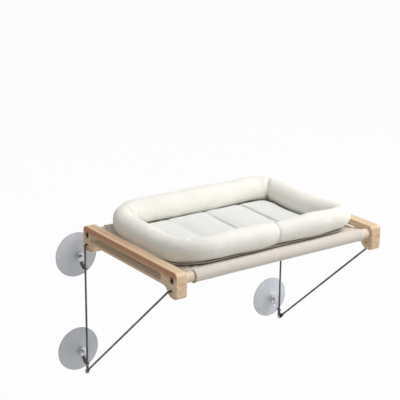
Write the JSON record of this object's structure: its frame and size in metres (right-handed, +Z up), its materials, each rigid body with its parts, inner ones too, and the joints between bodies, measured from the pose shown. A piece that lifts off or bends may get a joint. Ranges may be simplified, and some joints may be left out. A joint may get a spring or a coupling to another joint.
{
  "type": "window mounted cat perch",
  "caption": "Window perch: canvas deck between wooden rails and dowels, folding rod braces, suction cups on the glass, and a plush bed that lifts off.",
  "frame": {"origin": "middle of the four suction cups, on the window glass", "axes": "+X runs to the right along the dowels, +Y points into the glass, +Z is up"},
  "size_m": [0.579, 0.339, 0.3546],
  "materials": {
    "rail_wood": "sanded pine with a thin clear coat",
    "dowel_wood": "turned and sanded",
    "canvas": "plain woven, stretched",
    "rod_steel": "drawn steel rod, dark",
    "bright_steel": "zinc plated",
    "insert_brass": "turned",
    "clear_cup": "clear soft vinyl",
    "fleece": "short curly pile",
    "underside_cloth": "plain woven, with grip dots left off"
  },
  "bodies": {
    "deck_frame": {"left_rail": "rail_wood", "right_rail": "rail_wood", "back_dowel": "dowel_wood", "front_dowel": "dowel_wood", "threaded_inserts": "insert_brass", "frame_bolts": "rod_steel", "deck_panel": "canvas", "back_sleeve": "canvas", "front_sleeve": "canvas"},
    "left_brace": {"left_upright": "rod_steel", "left_rivet": "bright_steel"},
    "right_brace": {"right_upright": "rod_steel", "right_rivet": "bright_steel"},
    "left_strut_arm": {"left_strut": "rod_steel"},
    "right_strut_arm": {"right_strut": "rod_steel"},
    "left_upper_holder": {"left_upper_cup": "clear_cup", "left_upper_stud": "bright_steel", "left_upper_bracket": "bright_steel", "left_upper_nut": "bright_steel"},
    "right_upper_holder": {"right_upper_cup": "clear_cup", "right_upper_stud": "bright_steel", "right_upper_bracket": "bright_steel", "right_upper_nut": "bright_steel"},
    "left_lower_holder": {"left_lower_cup": "clear_cup", "left_lower_stud": "bright_steel", "left_lower_bracket": "bright_steel", "left_lower_nut": "bright_steel"},
    "right_lower_holder": {"right_lower_cup": "clear_cup", "right_lower_stud": "bright_steel", "right_lower_bracket": "bright_steel", "right_lower_nut": "bright_steel"},
    "bed": {"bed_underside": "underside_cloth", "bed_base": "fleece", "bed_bolster": "fleece"}
  },
  "joints": [
    {"name": "left_brace_fold", "type": "hinge", "parent": "deck_frame", "child": "left_brace", "pos_m": [-0.24, -0.0355, 0.13], "axis": [-1, 0, 0], "range_deg": [0, 90]},
    {"name": "right_brace_fold", "type": "hinge", "parent": "deck_frame", "child": "right_brace", "pos_m": [0.24, -0.0355, 0.13], "axis": [-1, 0, 0], "range_deg": [0, 90]},
    {"name": "left_strut_fold", "type": "hinge", "parent": "left_brace", "child": "left_strut_arm", "pos_m": [-0.2472, -0.0355, -0.136], "axis": [-1, 0, 0], "range_deg": [0, 22]},
    {"name": "right_strut_fold", "type": "hinge", "parent": "right_brace", "child": "right_strut_arm", "pos_m": [0.2472, -0.0355, -0.136], "axis": [-1, 0, 0], "range_deg": [0, 22]},
    {"name": "left_upper_cup_slide", "type": "slide", "parent": "left_brace", "child": "left_upper_holder", "axis": [0, 0, 1], "range_m": [-0.05, 0]},
    {"name": "right_upper_cup_slide", "type": "slide", "parent": "right_brace", "child": "right_upper_holder", "axis": [0, 0, 1], "range_m": [-0.05, 0]},
    {"name": "left_lower_cup_slide", "type": "slide", "parent": "left_brace", "child": "left_lower_holder", "axis": [0, 0, 1], "range_m": [0, 0.05]},
    {"name": "right_lower_cup_slide", "type": "slide", "parent": "right_brace", "child": "right_lower_holder", "axis": [0, 0, 1], "range_m": [0, 0.05]},
    {"name": "bed_lift", "type": "slide", "parent": "deck_frame", "child": "bed", "axis": [0, 0, 1], "range_m": [0, 0.3]}
  ],
  "couplings": [
    {"joint": "right_brace_fold", "follows": "left_brace_fold", "ratio": 1}
  ]
}
